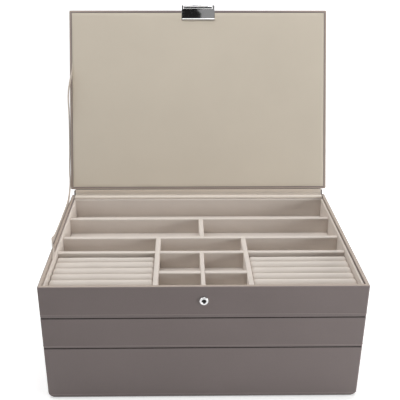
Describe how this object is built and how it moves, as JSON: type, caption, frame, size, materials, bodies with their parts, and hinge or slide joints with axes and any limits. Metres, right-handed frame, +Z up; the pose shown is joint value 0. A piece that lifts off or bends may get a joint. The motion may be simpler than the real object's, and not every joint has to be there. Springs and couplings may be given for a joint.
{
  "type": "jewelry box",
  "caption": "Stacking jewelry box: leather-covered trays with velvet dividers and ring rolls, a hinged padded lid, a flap clasp and a ribbon beside the lid.",
  "frame": {"origin": "centre of the underside's rectangle, on the surface that the box stands on", "axes": "+X to the right as seen from the front, +Y towards the hinge at the back, +Z up"},
  "size_m": [0.3629, 0.3572, 0.4004],
  "materials": {
    "leather": "smooth taupe leather over board",
    "velvet": "short-pile beige velvet",
    "panel_velvet": "padded velvet, slightly greyer",
    "satin": "satin ribbon",
    "chrome": "polished",
    "felt": "dark felt",
    "socket_plastic": "matte"
  },
  "bodies": {
    "bottom_tray": {"base_felt": "felt", "bottom_case": "leather", "bottom_divider_cross_1": "velvet", "bottom_divider_cross_2": "velvet", "bottom_divider_long": "velvet", "bottom_floor_pad": "velvet", "bottom_liner_front": "velvet", "bottom_liner_left": "velvet", "bottom_liner_rear": "velvet", "bottom_liner_right": "velvet"},
    "middle_tray": {"middle_case": "leather", "middle_divider_cross_1_1": "velvet", "middle_divider_cross_1_2": "velvet", "middle_divider_cross_2_1": "velvet", "middle_divider_cross_2_2": "velvet", "middle_divider_cross_3_1": "velvet", "middle_divider_cross_3_2": "velvet", "middle_divider_long_1": "velvet", "middle_divider_long_2": "velvet", "middle_floor_pad": "velvet", "middle_liner_front": "velvet", "middle_liner_left": "velvet", "middle_liner_rear": "velvet", "middle_liner_right": "velvet", "middle_locating_pad": "velvet"},
    "top_tray": {"hinge_batten": "velvet", "hinge_lining": "velvet", "hinge_spine": "leather", "keeper_ring": "chrome", "keeper_socket": "socket_plastic", "lid_ribbon": "satin", "ring_pad_left": "velvet", "ring_pad_right": "velvet", "top_case": "leather", "top_divider_front_centre": "velvet", "top_divider_front_left": "velvet", "top_divider_front_right": "velvet", "top_divider_middle": "velvet", "top_divider_rear": "velvet", "top_divider_rear_cross": "velvet", "top_divider_section_left": "velvet", "top_divider_section_right": "velvet", "top_divider_small_cross": "velvet", "top_divider_small_left": "velvet", "top_divider_small_right": "velvet", "top_floor_pad": "velvet", "top_liner_front": "velvet", "top_liner_left": "velvet", "top_liner_rear": "velvet", "top_liner_right": "velvet", "top_locating_pad": "velvet"},
    "lid": {"clasp_base": "chrome", "clasp_pin": "chrome", "lid_board": "leather", "lid_panel": "panel_velvet"},
    "clasp_flap": {"clasp_flap": "chrome", "clasp_stud": "chrome"}
  },
  "joints": [
    {"name": "middle_tray_lift", "type": "slide", "parent": "bottom_tray", "child": "middle_tray", "axis": [0, 0, 1], "range_m": [0, 0.06]},
    {"name": "top_tray_lift", "type": "slide", "parent": "middle_tray", "child": "top_tray", "axis": [0, 0, 1], "range_m": [0, 0.06]},
    {"name": "lid_hinge", "type": "hinge", "parent": "top_tray", "child": "lid", "pos_m": [0, 0.125, 0.158], "axis": [1, 0, 0], "range_deg": [0, 112], "deforming": ["hinge_lining", "lid_ribbon"]},
    {"name": "clasp_hinge", "type": "hinge", "parent": "lid", "child": "clasp_flap", "pos_m": [0, 0.21606, 0.39807], "axis": [1, 0, 0], "range_deg": [0, 223.8]}
  ]
}
